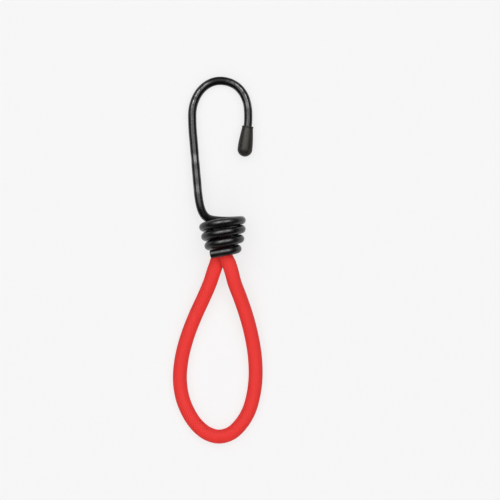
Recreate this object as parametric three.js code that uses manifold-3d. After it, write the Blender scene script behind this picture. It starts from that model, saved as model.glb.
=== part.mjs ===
// A bungee cord: an elastic loop, gripped at both ends in the coil of a wire hook.
// It lies on a table: +X is to its right, +Y runs from the loop to the hook, and +Z is up.
// The origin is on the table, under the middle of the hook and its coil.
import * as THREE from "three";
import { mergeVertices } from "three/addons/utils/BufferGeometryUtils.js";
import Module from "manifold-3d";

const manifold = await Module();
manifold.setup();

// All lengths are in millimetres and all angles in degrees.

// The hook's wire: a steel core in a plastic coating.
const coatedDiameter = 3.4;
const steelDiameter = 2.2;
const coatingClearance = 0.05;
const wireSides = 6;

// The arch of the hook is half an ellipse, measured on the wire's centreline. Its right shoulder
// is a little fuller.
const archX = -0.2;
const archY = 21.5;
const archHalfWidth = 11.45;
const archHeight = 13.95;
const archShoulder = 0.4;
const archSteps = 14;
// Below the arch, each leg bends a little towards the other and then runs straight. The tip's
// leg has a short plumb stretch before its bend.
const shankLean = 5;
const shankBendLength = 8.7;
const shankLength = 22;
const tipPlumbLength = 1.5;
const tipLean = 7;
const tipBendLength = 3.1;
const tipLength = 8.8;
const legBendSteps = 2;
// The hook slopes down from the coil until its arch rests on the table.
const hookSlope = 4.1;
// The turn from the shank into the coil, as the pull of its two ends.
const shankPull = 9;
const coilPull = 4;
const turnSteps = 9;

// The coil, from its first turn beside the hook to its mouth around the cord.
const coilX = 0.65;
const coilY = -21.92;
const coilTopRadius = 9.6;
const coilMouthRadius = 6.25;
const coilPitch = 3.88;
const coilHalfTurns = 7;
const coilLeanX = 0.9;
const turnTilt = 0.6;
const frontRise = 0.25;
const underDrop = 0.5;
const coilStartAngle = -120;
// The wire's cut end doesn't follow the last turn: it runs straight on from here.
const cutEndAngle = 1182;
const cutEndLength = 4.7;
const coilSteps = 24;
const coilFlatDepth = 0.55;

// The moulded cap on the tip.
const capLength = 12.5;
const capNeckRadius = 2.25;
const capRadius = 3;
const capLipHeight = 0.4;
// The cap's swelling side, as distances from its neck and radii.
const capSwell = [
  [1.7, 2.38],
  [4.2, 2.69],
  [6.7, 2.93],
];
const capWireClearance = 0.1;
const capBoreEndGap = 0.3;
const capSides = 24;
const capDomeSteps = 6;

// The cord: a braided sheath around parallel rubber strands.
const cordDiameter = 5.8;
const sheathThickness = 0.75;
const sheathSides = 10;
const strandsAround = 6;
const strandDiameter = 1.25;
const strandClearance = 0.09;
const strandSides = 6;
const sealedEndThickness = 0.6;
const sealedEndGap = 0.15;
const cutFaceGap = 0.3;
// The cord lies on the table with a flat that is a tenth of its thickness deep.
const cordFlatShare = 0.1;
const lieHeight = cordDiameter * (0.5 - cordFlatShare);
// Each side of the cord: the stretch that the coil grips and spreads, then the free leg.
const gripLength = 27;
const gripSteps = 13;
const legLength = 49;
const legSteps = 7;
const loopSteps = 16;

// How the coil squeezes the cord. Each row is a share of gripLength from the cord's end, then
// the shares of its thickness that are left across and up.
const squeezeShares = [
  [0, 0.91, 0.725],
  [0.1, 0.81, 0.675],
  [0.22, 0.81, 0.675],
  [0.34, 0.87, 0.695],
  [0.44, 0.87, 0.6],
  [0.5, 0.87, 0.51],
  [0.56, 0.92, 0.53],
  [0.64, 1, 0.64],
  [0.75, 1.02, 0.78],
  [0.88, 1.01, 0.92],
  [1, 1, 1],
];

// The clip that holds the two ends together inside the wide part of the coil.
const clipDistance = 4.2;
const clipWidth = 2.6;
const clipThickness = 0.8;
const clipClearance = 0.25;
const clipSlit = 0.5;
const clipCornerSteps = 6;
// Its middle lies this far under the coil's axis, midway between the two ends of the cord.
const clipDrop = 0.049987;
// The coil's bore as a share of the cord's thickness, at which the ends take up the room above.
// In a narrower bore they are pressed flatter and closer together, and the clip with them.
const clipBoreShare = 31 / 29;

// How far a cutting tool runs past what it cuts.
const overrun = 40;

// The cord's route, chosen by hand: from its right end in the coil, round the loop, to its left
// end. The right end lies above the left one in the coil.
const route = [
  [0.6, -21.1, 11.2],
  [0.8, -25.2, 11.1],
  [1.1, -30.1, 11.05],
  [1.5, -33.6, 10.6],
  [2.4, -36.8, 10.1],
  [3.5, -39.5, 9.6],
  [4.5, -42.7, 8.9],
  [5.7, -47.2, 7.9],
  [8.0, -53.3, 6.6],
  [10.5, -60.7, 5.2],
  [12.7, -69.3, 3.8],
  [14.0, -77.8, 2.8],
  [14.2, -86.4, lieHeight + 0.02],
  [13.2, -93.8, lieHeight],
  [11.3, -99.9, lieHeight],
  [8.1, -105.1, lieHeight],
  [4.1, -108.7, lieHeight],
  [-0.7, -110.0, lieHeight],
  [-5.5, -108.7, lieHeight],
  [-9.9, -105.1, lieHeight],
  [-13.4, -99.8, lieHeight],
  [-15.7, -93.8, lieHeight],
  [-16.7, -86.4, lieHeight + 0.02],
  [-15.9, -77.8, lieHeight + 0.1],
  [-13.7, -69.3, 2.8],
  [-10.4, -60.7, 3.6],
  [-7.0, -53.3, 4.5],
  [-4.4, -47.2, 5.3],
  [-2.9, -42.7, 5.9],
  [-1.8, -39.5, 6.3],
  [-1.0, -36.8, 6.7],
  [0.4, -33.6, 7.3],
  [1.0, -30.1, 6.95],
  [0.8, -25.2, 6.9],
  [0.6, -21.1, 6.8],
];

const materials = {
  steel: new THREE.MeshStandardMaterial({ color: 0xb4b6b8, roughness: 0.35, metalness: 1 }),
  coating: new THREE.MeshStandardMaterial({ color: 0x141414, roughness: 0.3, metalness: 0 }),
  cap: new THREE.MeshStandardMaterial({ color: 0x3a3936, roughness: 0.75, metalness: 0 }),
  clip: new THREE.MeshStandardMaterial({ color: 0x2b2c2e, roughness: 0.5, metalness: 0.6 }),
  sheath: new THREE.MeshStandardMaterial({ color: 0xe8302c, roughness: 0.85, metalness: 0 }),
  rubber: new THREE.MeshStandardMaterial({ color: 0xd8c59c, roughness: 0.8, metalness: 0 }),
};

const up = new THREE.Vector3(0, 0, 1);
const radians = THREE.MathUtils.degToRad;
const wireRadius = coatedDiameter / 2;
const coilEndAngle = Math.PI * coilHalfTurns;
const coilZ = coilTopRadius - coilFlatDepth;
const coilBoreRadius = coilTopRadius - coatedDiameter;

// The corners of a regular outline. A turn of half a side brings a flat, not a corner, to the front.
function regularOutline(diameter, sides, turn = 0) {
  return Array.from({ length: sides }, (_, i) => {
    const angle = (2 * Math.PI * (i + turn)) / sides;
    return [(Math.cos(angle) * diameter) / 2, (Math.sin(angle) * diameter) / 2];
  });
}

// The directions of a line of points, each taken between its two neighbours.
function tangentsOf(points) {
  return points.map((_, i) => {
    const before = points[Math.max(i - 1, 0)];
    const after = points[Math.min(i + 1, points.length - 1)];
    return after.clone().sub(before).normalize();
  });
}

// The part of a direction that is square to a tangent.
function squareTo(tangent, direction) {
  return direction.clone().addScaledVector(tangent, -direction.dot(tangent)).normalize();
}

// An outline of [across, up] pairs, moved by an offset and set in the plane of one station.
function ringAt(station, outline, offset = [0, 0]) {
  return outline.map(([across, rise]) =>
    station.point
      .clone()
      .addScaledVector(station.side, (across + offset[0]) * station.across)
      .addScaledVector(station.rise, (rise + offset[1]) * station.up),
  );
}

// A closed surface through a row of rings. It is capped at both ends, or its last ring joins
// its first, as when the row runs down the outside of a pipe and back up the inside.
function skin(rings, capped) {
  const sides = rings[0].length;
  const corners = [];
  const ringCount = capped ? rings.length - 1 : rings.length;
  for (let r = 0; r < ringCount; r += 1) {
    const here = r * sides;
    const next = ((r + 1) % rings.length) * sides;
    for (let j = 0; j < sides; j += 1) {
      const k = (j + 1) % sides;
      corners.push(here + j, here + k, next + k);
      corners.push(here + j, next + k, next + j);
    }
  }
  if (capped) {
    const last = (rings.length - 1) * sides;
    for (let j = 1; j < sides - 1; j += 1) {
      corners.push(0, j + 1, j);
      corners.push(last, last + j, last + j + 1);
    }
  }
  const geometry = new THREE.BufferGeometry().setFromPoints(rings.flat());
  geometry.setIndex(corners);
  geometry.computeVertexNormals();
  return geometry;
}

function rod(stations, outline, offset) {
  return skin(
    stations.map((station) => ringAt(station, outline, offset)),
    true,
  );
}

// A pipe that is open at both ends.
function pipe(stations, outerOutline, innerOutline) {
  const outside = stations.map((station) => ringAt(station, outerOutline));
  const inside = stations.map((station) => ringAt(station, innerOutline));
  return skin([...outside, ...inside.reverse()], false);
}

// A pipe whose first end is closed: its bore starts at the first of the bore's own stations.
function blindPipe(stations, boreStations, outerOutline, innerOutline) {
  const outside = stations.map((station) => ringAt(station, outerOutline));
  const inside = boreStations.map((station) => ringAt(station, innerOutline));
  return skin([...outside, ...inside.reverse()], true);
}

// What is left of a shape above the table, so that it has a flat face to lie on.
function cutFlat(geometry) {
  const below = new THREE.BoxGeometry(1, 1, 1);
  const span = new THREE.Box3().setFromBufferAttribute(geometry.getAttribute("position"));
  const size = span.getSize(new THREE.Vector3()).addScalar(overrun);
  const centre = span.getCenter(new THREE.Vector3()).setZ(-size.z / 2);
  below.scale(size.x, size.y, size.z).translate(centre.x, centre.y, centre.z);
  return fromSolid(toSolid(geometry).subtract(toSolid(below)));
}

function toSolid(geometry) {
  const bare = geometry.clone();
  bare.deleteAttribute("normal");
  bare.deleteAttribute("uv");
  const merged = mergeVertices(bare);
  return new manifold.Manifold(
    new manifold.Mesh({
      numProp: 3,
      vertProperties: merged.getAttribute("position").array,
      triVerts: new Uint32Array(merged.index.array),
    }),
  );
}

function fromSolid(solid) {
  const mesh = solid.getMesh();
  const geometry = new THREE.BufferGeometry();
  geometry.setAttribute("position", new THREE.BufferAttribute(mesh.vertProperties, mesh.numProp));
  geometry.setIndex(new THREE.BufferAttribute(mesh.triVerts, 1));
  geometry.computeVertexNormals();
  return geometry;
}

// A point on the coil's centreline. The angle is 0 at the first turn's right side and grows
// over the top, to the left and down the coil. The radius shrinks faster towards the mouth. The
// turns are tilted, with their right sides up, which the first one only comes to half way round.
// Each pass over the top rises a little, and each one underneath drops.
function coilPoint(angle) {
  const share = angle / coilEndAngle;
  const taper = Math.max(share, 0) ** 2;
  const radius = coilTopRadius - (coilTopRadius - coilMouthRadius) * taper - wireRadius;
  const growing = Math.min(1, 0.55 + (0.45 * angle) / Math.PI);
  const tilt = turnTilt * growing * (1 - 0.7 * share ** 3) * Math.cos(angle);
  const under = Math.min(Math.sin(angle), 0) ** 2;
  const bulge = (1 - share) * (frontRise * Math.sin(angle) - underDrop * under);
  return new THREE.Vector3(
    coilX + coilLeanX * share + radius * Math.cos(angle),
    coilY - (coilPitch * angle) / (2 * Math.PI) + tilt + bulge,
    coilZ + radius * Math.sin(angle),
  );
}

// The height of the sloping hook's centreline over the table.
function hookHeight(y) {
  return wireRadius + (archY + archHeight - y) * Math.tan(radians(hookSlope));
}

function hookPoint(x, y) {
  return new THREE.Vector3(x, y, hookHeight(y));
}

// One leg of the hook, from the arch down: a plumb stretch, a slight bend, then a straight run.
// side is 1 on the right and -1 on the left, and the leg leans towards the middle.
function legPoints(side, plumbLength, lean, bendLength, length) {
  const radius = bendLength / Math.sin(radians(lean));
  const bendY = archY - plumbLength;
  const points = plumbLength > 0 ? [hookPoint(archX + side * archHalfWidth, bendY)] : [];
  for (let i = 1; i <= legBendSteps; i += 1) {
    const angle = radians((lean * i) / legBendSteps);
    const inward = radius * (1 - Math.cos(angle));
    const x = archX + side * (archHalfWidth - inward);
    points.push(hookPoint(x, bendY - radius * Math.sin(angle)));
  }
  const bendEnd = points[points.length - 1];
  const x = bendEnd.x - side * length * Math.tan(radians(lean));
  points.push(hookPoint(x, bendEnd.y - length));
  return points;
}

function archPoints() {
  return Array.from({ length: archSteps + 1 }, (_, i) => {
    const angle = (Math.PI * i) / archSteps;
    const onRight = angle < Math.PI / 2;
    const fuller = onRight ? archShoulder * Math.sin(2 * angle) ** 2 : 0;
    return hookPoint(
      archX + (archHalfWidth + fuller) * Math.cos(angle),
      archY + (archHeight + fuller) * Math.sin(angle),
    );
  });
}

// The turn that carries the wire from the end of the shank round into the coil.
function turnPoints(shankPoints) {
  const [before, from] = shankPoints.slice(-2);
  const along = from.clone().sub(before).normalize();
  const start = radians(coilStartAngle);
  const to = coilPoint(start);
  const onward = coilPoint(start + Math.PI / coilSteps).sub(to).normalize();
  const curve = new THREE.CubicBezierCurve3(
    from,
    from.clone().addScaledVector(along, shankPull),
    to.clone().addScaledVector(onward, -coilPull),
    to,
  );
  return curve.getPoints(turnSteps).slice(1, -1);
}

function coilAngles(stepsPerTurn) {
  const start = radians(coilStartAngle);
  const run = radians(cutEndAngle) - start;
  const count = Math.round((run * stepsPerTurn) / (2 * Math.PI));
  return Array.from({ length: count + 1 }, (_, i) => start + (run * i) / count);
}

// The stations of the whole wire, from its tip to its cut end. In the coil each section has a
// flat that faces out, and the hook carries on from there without a twist.
function wireStations() {
  const tip = legPoints(1, tipPlumbLength, tipLean, tipBendLength, tipLength).reverse();
  const shank = legPoints(-1, 0, shankLean, shankBendLength, shankLength);
  const angles = coilAngles(coilSteps);
  const straight = [...tip, ...archPoints(), ...shank, ...turnPoints(shank)];
  const coil = angles.map(coilPoint);
  const [before, last] = coil.slice(-2);
  const along = last.clone().sub(before).normalize();
  const points = [...straight, ...coil, last.clone().addScaledVector(along, cutEndLength)];
  const tangents = tangentsOf(points);
  const sides = points.map(() => null);
  [...angles, angles[angles.length - 1]].forEach((angle, i) => {
    const outward = new THREE.Vector3(Math.cos(angle), 0, Math.sin(angle));
    sides[straight.length + i] = squareTo(tangents[straight.length + i], outward);
  });
  for (let i = straight.length - 1; i >= 0; i -= 1) {
    sides[i] = squareTo(tangents[i], sides[i + 1]);
  }
  return points.map((point, i) => ({
    point,
    tangent: tangents[i],
    side: sides[i],
    rise: tangents[i].clone().cross(sides[i]),
    across: 1,
    up: 1,
  }));
}

// The least gap from one turn of the coil to the next, measured on points of its centreline.
function leastCoilGap() {
  const stepsPerTurn = 4 * coilSteps;
  const points = coilAngles(stepsPerTurn).map(coilPoint);
  let least = Infinity;
  points.forEach((point, i) => {
    points.slice(i + stepsPerTurn / 2).forEach((other) => {
      least = Math.min(least, point.distanceTo(other));
    });
  });
  return least - coatedDiameter;
}

// The shares of its thickness that the cord keeps, at a distance from its nearer end.
function squeezeAt(distance) {
  const share = Math.min(distance / gripLength, 1);
  const after = Math.max(squeezeShares.findIndex((row) => row[0] >= share), 1);
  const [low, high] = [squeezeShares[after - 1], squeezeShares[after]];
  const between = (share - low[0]) / (high[0] - low[0]);
  return [1, 2].map((column) => THREE.MathUtils.lerp(low[column], high[column], between));
}

const cordCurve = new THREE.CatmullRomCurve3(
  route.map((point) => new THREE.Vector3(...point)),
  false,
  "centripetal",
);
cordCurve.arcLengthDivisions = 1000;
const cordLength = cordCurve.getLength();

// A station of the cord at a distance from its right end, seen along the cord or back along it.
function cordStation(distance, direction = 1) {
  const share = THREE.MathUtils.clamp(distance / cordLength, 0, 1);
  const tangent = cordCurve.getTangentAt(share).multiplyScalar(direction);
  const rise = squareTo(tangent, up);
  const [across, squeezed] = squeezeAt(Math.min(distance, cordLength - distance));
  return {
    point: cordCurve.getPointAt(share),
    tangent,
    side: rise.clone().cross(tangent),
    rise,
    across,
    up: squeezed,
  };
}

function evenly(from, to, steps) {
  return Array.from({ length: steps + 1 }, (_, i) => from + ((to - from) * i) / steps);
}

// The stations of one leg from its sealed end, which is the right or the left end of the cord.
function legStations(end, start) {
  const stop = gripLength + legLength - cutFaceGap / 2;
  const distances = [
    ...evenly(start, gripLength, gripSteps),
    ...evenly(gripLength, stop, legSteps).slice(1),
  ];
  if (end === "right") return distances.map((distance) => cordStation(distance));
  return distances.map((distance) => cordStation(cordLength - distance, -1));
}

function loopStations() {
  const start = gripLength + legLength + cutFaceGap / 2;
  return evenly(start, cordLength - start, loopSteps).map((distance) => cordStation(distance));
}

// The centres of the strands in the cord's section: one in the middle and a ring around it.
// A leg seen from the left end is mirrored, so that each strand runs on through all three parts.
function strandOffsets(mirror) {
  const spacing = strandDiameter + strandClearance;
  const ring = regularOutline(2 * spacing, strandsAround);
  return [[0, 0], ...ring].map(([across, rise]) => [mirror * across, rise]);
}

const sheathOutline = regularOutline(cordDiameter, sheathSides);
const boreOutline = regularOutline(cordDiameter - 2 * sheathThickness, sheathSides);
const strandOutline = regularOutline(strandDiameter, strandSides);

function makeSheathLeg(end) {
  const boreStart = sealedEndThickness;
  return cutFlat(
    blindPipe(legStations(end, 0), legStations(end, boreStart), sheathOutline, boreOutline),
  );
}

function makeSheathLoop() {
  return cutFlat(pipe(loopStations(), sheathOutline, boreOutline));
}

const wire = wireStations();
const hexagonWithFlatOut = 0.5;

function makeSteelWire() {
  return rod(wire, regularOutline(steelDiameter, wireSides, hexagonWithFlatOut));
}

function makeCoating() {
  const outside = regularOutline(coatedDiameter, wireSides, hexagonWithFlatOut);
  const boreDiameter = steelDiameter + 2 * coatingClearance;
  const inside = regularOutline(boreDiameter, wireSides, hexagonWithFlatOut);
  return cutFlat(pipe(wire, outside, inside));
}

// The cap is turned about its own axis, from its open neck down to its rounded end.
function makeCapShape() {
  const boreRadius = wireRadius + capWireClearance;
  const boreEnd = -(tipLength + capBoreEndGap);
  const domeStart = -(capLength - capRadius);
  const dome = Array.from({ length: capDomeSteps + 1 }, (_, i) => {
    const angle = (Math.PI / 2) * (1 - i / capDomeSteps);
    const height = domeStart - capRadius * Math.cos(angle);
    return new THREE.Vector2(capRadius * Math.sin(angle), height);
  });
  dome[dome.length - 1].x = 0;
  const profile = [
    new THREE.Vector2(0, boreEnd),
    new THREE.Vector2(boreRadius, boreEnd),
    new THREE.Vector2(boreRadius, 0),
    new THREE.Vector2(capNeckRadius - capLipHeight / 2, 0),
    new THREE.Vector2(capNeckRadius, -capLipHeight),
    ...capSwell.map(([distance, radius]) => new THREE.Vector2(radius, -distance)),
    ...dome,
  ];
  return new THREE.LatheGeometry(profile.reverse(), capSides);
}

// The clip is a strip bent round both cord ends, with a slit where its own ends meet.
function makeClipShape() {
  const [across, squeezed] = squeezeAt(clipDistance);
  const right = cordStation(clipDistance);
  const left = cordStation(cordLength - clipDistance);
  const centre = right.point.clone().add(left.point).divideScalar(2);
  const boreFit = coilBoreRadius / (clipBoreShare * cordDiameter);
  const halfWidth = boreFit * (cordDiameter / 2) * across + clipClearance;
  const stackRise = Math.abs(right.point.z - left.point.z) / 2;
  const halfHeight = boreFit * (stackRise + (cordDiameter / 2) * squeezed) + clipClearance;
  const inner = clipArc(halfWidth, halfHeight);
  const outer = clipArc(halfWidth + clipThickness, halfHeight + clipThickness).reverse();
  const shape = new THREE.Shape([...inner, ...outer]);
  const geometry = new THREE.ExtrudeGeometry(shape, { depth: clipWidth, bevelEnabled: false });
  geometry.translate(0, 0, -clipWidth / 2);
  geometry.rotateX(Math.PI / 2);
  geometry.translate(centre.x, centre.y, coilZ - clipDrop);
  return geometry;
}

// A run round an upright oval, from one side of the slit on the right to the other. The oval is
// a rectangle with half circles above and below.
function clipArc(halfWidth, halfHeight) {
  const straight = halfHeight - halfWidth;
  const points = [new THREE.Vector2(halfWidth, clipSlit / 2)];
  [1, -1].forEach((end) => {
    for (let i = 0; i <= 2 * clipCornerSteps; i += 1) {
      const angle = (Math.PI * i) / (2 * clipCornerSteps);
      const x = end * halfWidth * Math.cos(angle);
      points.push(new THREE.Vector2(x, end * (straight + halfWidth * Math.sin(angle))));
    }
  });
  points.push(new THREE.Vector2(halfWidth, -clipSlit / 2));
  return points;
}

function piece(name, geometry, material) {
  const mesh = new THREE.Mesh(geometry, material);
  mesh.name = name;
  return mesh;
}

function makeHook() {
  const hook = new THREE.Group();
  hook.add(piece("hook_wire", makeSteelWire(), materials.steel));
  hook.add(piece("wire_coating", makeCoating(), materials.coating));
  const cap = piece("tip_cap", makeCapShape(), materials.cap);
  // The cap's neck is tipLength up the wire from its tip, and the cap points down the wire.
  const tip = wire[0];
  cap.position.copy(tip.point).addScaledVector(tip.tangent, tipLength);
  cap.quaternion.setFromUnitVectors(new THREE.Vector3(0, 1, 0), tip.tangent);
  hook.add(cap);
  hook.add(piece("end_clip", makeClipShape(), materials.clip));
  return hook;
}

function makeCord() {
  const cord = new THREE.Group();
  cord.add(piece("sheath_right_leg", makeSheathLeg("right"), materials.sheath));
  cord.add(piece("sheath_left_leg", makeSheathLeg("left"), materials.sheath));
  cord.add(piece("sheath_loop", makeSheathLoop(), materials.sheath));
  const strandStart = sealedEndThickness + sealedEndGap;
  const rightStations = legStations("right", strandStart);
  const leftStations = legStations("left", strandStart);
  const loop = loopStations();
  const mirrored = strandOffsets(-1);
  strandOffsets(1).forEach((offset, i) => {
    const name = `rubber_strand_${i + 1}`;
    const right = rod(rightStations, strandOutline, offset);
    const left = rod(leftStations, strandOutline, mirrored[i]);
    cord.add(piece(`${name}_right_leg`, right, materials.rubber));
    cord.add(piece(`${name}_left_leg`, left, materials.rubber));
    cord.add(piece(`${name}_loop`, rod(loop, strandOutline, offset), materials.rubber));
  });
  return cord;
}

console.log(`least gap between the coil's turns: ${leastCoilGap().toFixed(3)} mm`);
console.log(`length of the cord: ${cordLength.toFixed(1)} mm`);

const bungee = new THREE.Group();
bungee.name = "bungee_cord";
bungee.add(makeHook(), makeCord());

export default bungee;
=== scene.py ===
# %% [markdown]
# # A bungee cord, dressed over its CAD frame
#
# The object is a short elastic loop that holds down a tarpaulin. A red braided cord is folded in
# two, and a coil at the foot of a black wire hook grips both of its ends. It lies on a pale
# table and is seen from straight above.
#
# The CAD model gives every size and place, so nothing is fitted here. Each cell takes one piece
# of the real object and makes it again with a finer surface and a real finish. All lengths are
# in metres, and the ones below are written in millimetres times MM.

import bpy
import numpy as np
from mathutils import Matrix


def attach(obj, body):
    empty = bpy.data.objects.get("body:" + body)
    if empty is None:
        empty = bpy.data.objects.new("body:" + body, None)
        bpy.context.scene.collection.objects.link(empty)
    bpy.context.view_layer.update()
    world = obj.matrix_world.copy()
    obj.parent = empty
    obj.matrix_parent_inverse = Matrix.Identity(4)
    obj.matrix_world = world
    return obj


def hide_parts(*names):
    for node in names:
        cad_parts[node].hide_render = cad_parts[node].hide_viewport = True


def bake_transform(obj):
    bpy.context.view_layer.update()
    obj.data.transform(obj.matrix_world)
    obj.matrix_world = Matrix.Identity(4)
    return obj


MM = 0.001
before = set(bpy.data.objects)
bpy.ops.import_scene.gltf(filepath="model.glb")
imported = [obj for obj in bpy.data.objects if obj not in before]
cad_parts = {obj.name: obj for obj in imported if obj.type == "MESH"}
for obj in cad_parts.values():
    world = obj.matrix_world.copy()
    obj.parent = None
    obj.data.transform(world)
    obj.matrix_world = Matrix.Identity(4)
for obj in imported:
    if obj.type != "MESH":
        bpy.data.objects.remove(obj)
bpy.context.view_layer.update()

# %% [markdown]
# ## The camera
#
# The picture is taken from straight above. A long lens far away keeps the tall coil from looking
# larger than the flat loop, so its sizes can be compared over the whole picture. A camera that
# isn't turned looks down, with +Y at the top of the picture.

# %% Make the camera
LENS = 300.0
VIEW_WIDTH = 204.2 * MM
VIEW_X = 11.97 * MM
VIEW_Y = -33.73 * MM
VIEW_Z = 4 * MM

camera_data = bpy.data.cameras.new("camera")
camera_data.lens = LENS
camera = bpy.data.objects.new("camera", camera_data)
bpy.context.scene.collection.objects.link(camera)
camera_distance = VIEW_WIDTH * LENS / camera_data.sensor_width
camera.location = (VIEW_X, VIEW_Y, VIEW_Z + camera_distance)
bpy.context.scene.camera = camera
print(f"camera {camera_distance:.3f} m above the table")

# %% [markdown]
# ## A line through chosen points
#
# Cords and wires are both a section carried along a line. A cubic curve that passes through every
# point that it is given suits a route that is listed point by point. This one takes its slopes
# from the neighbouring points and weighs them by their distances, so it doesn't swing out where
# the points are unevenly spaced. It is the one that the CAD uses.

# %% Curves as arrays


def smooth_path(points, steps):
    """Each run between two points is a cubic. Its slope at a point is weighted by the square
    roots of the distances to the points before and after."""
    first = 2 * points[0] - points[1]
    last = 2 * points[-1] - points[-2]
    knots = np.vstack([first, points, last])
    roots = np.sqrt(np.linalg.norm(np.diff(knots, axis=0), axis=1))[:, None]
    before, here, after = roots[:-2], roots[1:-1], roots[2:]
    p0, p1, p2, p3 = knots[:-3], knots[1:-2], knots[2:-1], knots[3:]
    leave = here * ((p1 - p0) / before - (p2 - p0) / (before + here)) + p2 - p1
    arrive = here * ((p3 - p2) / after - (p3 - p1) / (here + after)) + p2 - p1
    t = np.linspace(0, 1, steps, endpoint=False)[:, None, None]
    bend = 3 * (p2 - p1) - 2 * leave - arrive
    twist = 2 * (p1 - p2) + leave + arrive
    run = p1 + t * leave + t**2 * bend + t**3 * twist
    return np.vstack([run.transpose(1, 0, 2).reshape(-1, 3), points[-1:]])


def distances_along(points):
    """How far each point of a line is from its first point, measured along the line."""
    steps = np.linalg.norm(np.diff(points, axis=0), axis=1)
    return np.concatenate([[0], np.cumsum(steps)])


def points_at(points, distances):
    """The points of a line at the given distances along it."""
    travelled = distances_along(points)
    return np.stack([np.interp(distances, travelled, points[:, k]) for k in range(3)], axis=1)


def unit(vectors):
    """Each vector divided by its own length."""
    return vectors / np.linalg.norm(vectors, axis=-1, keepdims=True)


def directions(points, distances):
    """The direction of a line at each of its points: how it changes with distance."""
    return unit(np.gradient(points, distances, axis=0))


def square_to(tangents, vectors):
    """The part of each vector that is square to its tangent."""
    along = np.sum(vectors * tangents, axis=1, keepdims=True)
    return unit(vectors - along * tangents)


# %% [markdown]
# ## A skin over a row of rings
#
# A mesh made from a grid needs no modelling by hand: row i of the grid is one ring, and each
# face joins two neighbours of one ring to the same two of the next. Taking the corners in the
# same order everywhere makes every face look outwards. The two ends are closed with a fan of
# triangles. A UV map called lay keeps the distance along the piece, in millimetres, and the
# share of the way round it, so a finish can follow the surface.

# %% Grids to meshes


def carry_along(centres, side, rise, across, high):
    """Every ring is its centre, plus side times across, plus rise times high. across and high
    have a row for each ring and a column for each point round it."""
    level = side[:, None] * across[..., None] + rise[:, None] * high[..., None]
    return centres[:, None] + level


def skin_of(rings, distances, hollow=False):
    """The corners of each face and their UVs. A hollow skin's last ring joins its first, as in
    a pipe that runs down outside and back up inside."""
    rows, columns = rings.shape[:2]
    row = np.arange(rows if hollow else rows - 1)[:, None]
    column = np.arange(columns)[None, :]
    next_row = (row + 1) % rows
    next_column = (column + 1) % columns
    corners = [
        row * columns + column,
        row * columns + next_column,
        next_row * columns + next_column,
        next_row * columns + column,
    ]
    quads = np.stack(corners, axis=-1).reshape(-1, 4)
    along = distances / MM
    here, there, left = np.broadcast_arrays(along[row], along[next_row], column / columns)
    right = left + 1 / columns
    u = np.stack([here, here, there, there], axis=-1).reshape(-1, 4)
    v = np.stack([left, right, right, left], axis=-1).reshape(-1, 4)
    return quads, np.stack([u, v], axis=-1)


def fan_of(ring_start, columns, pole, along, forward):
    """The triangles that close a ring onto its pole. They look along the piece if forward."""
    column = np.arange(columns)
    here = ring_start + column
    beside = ring_start + (column + 1) % columns
    ends = [here, beside] if forward else [beside, here]
    triangles = np.stack([np.full(columns, pole), *ends], axis=-1)
    v = column / columns
    rim = [v, v + 1 / columns] if forward else [v + 1 / columns, v]
    v = np.stack([v + 0.5 / columns, *rim], axis=-1)
    return triangles, np.stack([np.full(v.shape, along / MM), v], axis=-1)


def closed_skin(rings, distances):
    """A skin over the rings with a fan at each end: its points, faces and UVs."""
    rows, columns = rings.shape[:2]
    quads, quad_uvs = skin_of(rings, distances)
    poles = rings[[0, -1]].mean(axis=1)
    points = np.vstack([rings.reshape(-1, 3), poles])
    start, start_uvs = fan_of(0, columns, rows * columns, distances[0], False)
    last_ring = (rows - 1) * columns
    end, end_uvs = fan_of(last_ring, columns, rows * columns + 1, distances[-1], True)
    return points, [quads, start, end], [quad_uvs, start_uvs, end_uvs]


def hollow_skin(rings, distances):
    """A skin over rings that run down outside and back inside."""
    quads, uvs = skin_of(rings, distances, hollow=True)
    return rings.reshape(-1, 3), [quads], [uvs]


def turned_in(skin):
    """The same skin facing the other way, for the wall of a cavity."""
    points, faces, uvs = skin
    return points, [f[:, ::-1] for f in faces], [uv[:, ::-1] for uv in uvs]


def make_piece(name, *skins):
    """A smooth mesh object from one or more skins, which become one solid."""
    points = np.vstack([skin[0] for skin in skins])
    starts = np.cumsum([0] + [len(skin[0]) for skin in skins[:-1]])
    faces = [f + start for skin, start in zip(skins, starts) for f in skin[1]]
    uvs = [uv.reshape(-1, 2) for skin in skins for uv in skin[2]]
    mesh = bpy.data.meshes.new(name)
    mesh.from_pydata(points.tolist(), [], [f for group in faces for f in group.tolist()])
    mesh.uv_layers.new(name="lay").uv.foreach_set("vector", np.vstack(uvs).ravel())
    mesh.shade_smooth()
    mesh.update()
    piece = bpy.data.objects.new(name, mesh)
    bpy.context.scene.collection.objects.link(piece)
    triangles = sum(len(face.vertices) - 2 for face in mesh.polygons)
    print(f"{name}: {triangles} triangles")
    return piece


def rest_on_table(points, softness):
    """Everything below the table is pressed up to it, softly: the height z becomes half of z
    plus the root of z squared plus softness squared."""
    z = points[..., 2]
    pressed = points.copy()
    pressed[..., 2] = (z + np.sqrt(z**2 + softness**2)) / 2
    return pressed


# %% [markdown]
# ## The cord's route
#
# The real cord is one piece, 198 mm long. It starts in the coil, leaves its mouth, comes down to
# the table, goes round the loop and climbs back into the coil under its own first end. The
# points are the ones that the CAD solids follow. The coil grips the cord, so its section isn't
# round there: a table gives, for each share of the gripped length, the shares of its thickness
# that are left across and up.

# %% Route and sections
CORD_DIAMETER = 5.8 * MM
LIE_HEIGHT = 2.32
GRIP_LENGTH = 27 * MM
ROUTE_STEPS = 60
SQUEEZE_BLUR = 0.05

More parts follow.
